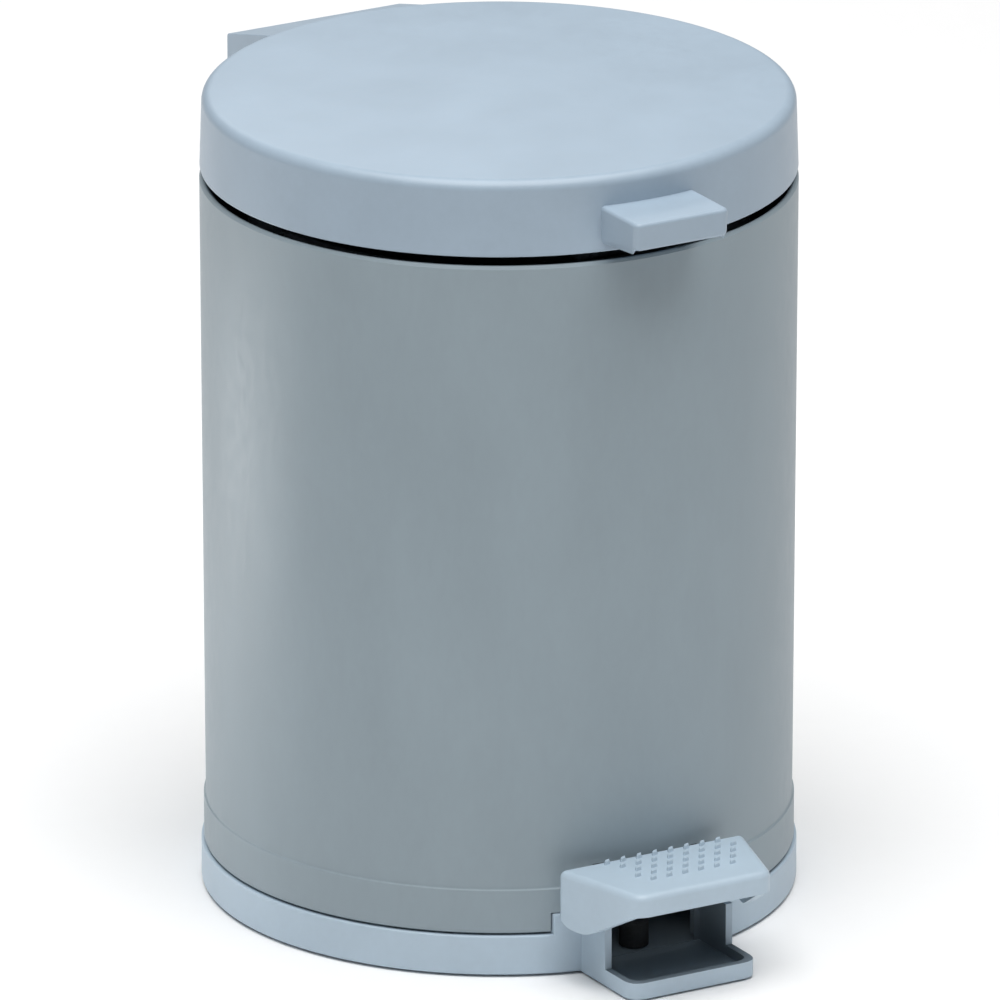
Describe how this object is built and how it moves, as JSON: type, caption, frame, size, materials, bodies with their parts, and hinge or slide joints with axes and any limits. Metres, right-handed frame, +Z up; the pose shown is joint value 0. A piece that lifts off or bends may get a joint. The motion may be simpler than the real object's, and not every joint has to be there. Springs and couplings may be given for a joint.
{
  "type": "pedal trash can",
  "caption": "Round plastic pedal bin with a hinged lid, a foot pedal that lifts it through a lever and push rod, and a lift-out inner bucket.",
  "frame": {"origin": "on the bin's vertical axis, at the level of the floor it stands on", "axes": "+Z up, -Y towards the pedal and the lid's lip, +Y towards the hinge, +X to the left of someone who stands at the pedal and faces the bin's back, so to the right seen from the front"},
  "size_m": [0.201, 0.2632, 0.281],
  "materials": {
    "body_plastic": "satin moulded polypropylene, blue grey",
    "lid_plastic": "satin moulded polypropylene, light blue grey",
    "base_plastic": "satin moulded polypropylene, pale blue grey",
    "bucket_plastic": "satin moulded polypropylene, mid grey",
    "bush_plastic": "natural acetal, off white",
    "zinc_plated_steel": "bright zinc plating",
    "rubber": "matt black rubber"
  },
  "bodies": {
    "bin": {"outer_body": "body_plastic", "base": "base_plastic", "base_screw_1": "zinc_plated_steel", "base_screw_2": "zinc_plated_steel", "base_screw_3": "zinc_plated_steel", "base_screw_4": "zinc_plated_steel", "foot_pad_1": "rubber", "foot_pad_2": "rubber", "foot_pad_3": "rubber", "foot_pad_4": "rubber", "rim_buffer_left": "rubber", "rim_buffer_right": "rubber", "rod_guide": "bush_plastic", "hinge_pin": "zinc_plated_steel", "hinge_pin_retainer": "zinc_plated_steel", "pivot_pin": "zinc_plated_steel", "pivot_clip_left": "zinc_plated_steel", "pivot_clip_right": "zinc_plated_steel", "pivot_spacer_left": "bush_plastic", "pivot_spacer_right": "bush_plastic", "lever_stop_pad": "rubber"},
    "lid": {"lid": "lid_plastic"},
    "pedal": {"pedal": "base_plastic", "pedal_lever": "zinc_plated_steel", "pedal_screw_rear": "zinc_plated_steel", "pedal_screw_front": "zinc_plated_steel"},
    "push_rod": {"push_rod": "zinc_plated_steel", "rod_cap_lower": "bush_plastic", "rod_cap_upper": "bush_plastic"},
    "bucket": {"inner_bucket": "bucket_plastic"},
    "bail": {"bucket_bail": "zinc_plated_steel", "bail_grip": "bush_plastic"}
  },
  "joints": [
    {"name": "lid_hinge", "type": "hinge", "parent": "bin", "child": "lid", "pos_m": [0, 0.10885, 0.252], "axis": [-1, 0, 0], "range_deg": [0, 70]},
    {"name": "pedal_pivot", "type": "hinge", "parent": "bin", "child": "pedal", "pos_m": [0, -0.026, 0.021], "axis": [1, 0, 0], "range_deg": [0, 10.5]},
    {"name": "rod_hook", "type": "hinge", "parent": "pedal", "child": "push_rod", "pos_m": [0, 0.091, 0.01025], "axis": [-1, 0, 0], "range_deg": [0, 10.5]},
    {"name": "bucket_lift", "type": "slide", "parent": "bin", "child": "bucket", "axis": [0, 0, 1], "range_m": [0, 0.008]},
    {"name": "bail_swing", "type": "hinge", "parent": "bucket", "child": "bail", "pos_m": [0, 0, 0.2488], "axis": [-1, 0, 0], "range_deg": [0, 7]}
  ],
  "couplings": [
    {"joint": "pedal_pivot", "follows": "lid_hinge", "ratio": 0.15},
    {"joint": "rod_hook", "follows": "lid_hinge", "ratio": 0.15}
  ]
}
